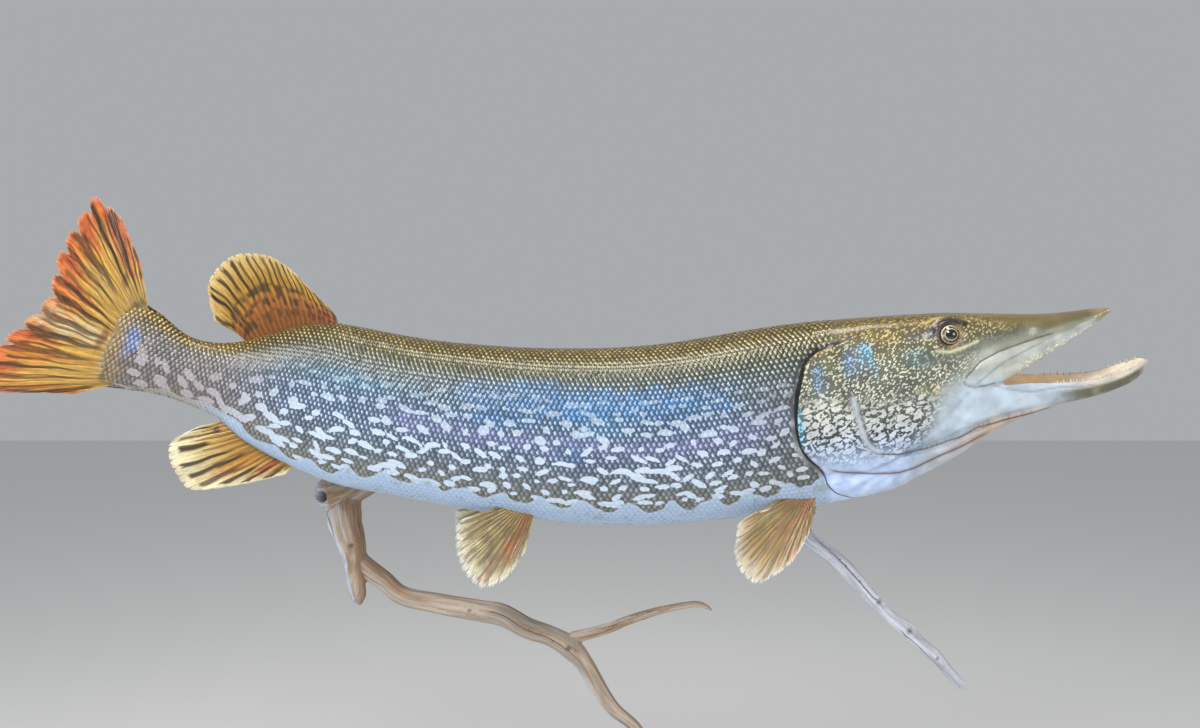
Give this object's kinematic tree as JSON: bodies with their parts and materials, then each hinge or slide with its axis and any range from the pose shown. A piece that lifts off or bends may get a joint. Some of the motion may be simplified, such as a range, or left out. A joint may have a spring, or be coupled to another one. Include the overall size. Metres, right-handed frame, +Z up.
{
  "type": "mounted pike on driftwood",
  "caption": "Life-size taxidermy mount of a northern pike with open mouth and swept tail, fixed to a weathered driftwood branch that hangs on a wall.",
  "frame": {"origin": "middle of the flat sawn into the back of the driftwood, which lies on the wall", "axes": "+X towards the fish's head, +Y into the wall, +Z up"},
  "size_m": [1.1833, 0.2705, 0.706],
  "materials": {
    "skin": "lacquered fish skin with small scales, olive above, pale spotted flank and white belly",
    "head": "lacquered skin over bone, olive gold with pale worm lines",
    "jaw": "lacquered white skin with grey edges",
    "mouth": "wet-looking painted mouth lining",
    "eye": "glass eye with a golden iris",
    "fin": "thin lacquered fins with raised rays and dark blotches",
    "tail_fin": "thin lacquered fin, orange red with cream rays",
    "driftwood": "smooth weathered grey driftwood"
  },
  "bodies": {
    "root": {"head": "head", "lower_jaw": "jaw", "tongue": "mouth", "throat": "jaw", "eye_right": "eye", "gill_cover_right": "head", "maxilla_right": "jaw", "eye_left": "eye", "gill_cover_left": "head", "maxilla_left": "jaw", "trunk_front": "skin", "trunk_rear": "skin", "tail_stalk": "skin", "dorsal_fin": "fin", "anal_fin": "fin", "caudal_fin": "tail_fin", "pelvic_fin_right": "fin", "pelvic_fin_left": "fin", "pectoral_fin_right": "fin", "pectoral_fin_left": "fin", "driftwood_trunk": "driftwood", "driftwood_stub": "driftwood", "driftwood_lower_branch": "driftwood", "driftwood_side_twig": "driftwood", "driftwood_right_branch": "driftwood"}
  },
  "joints": []
}
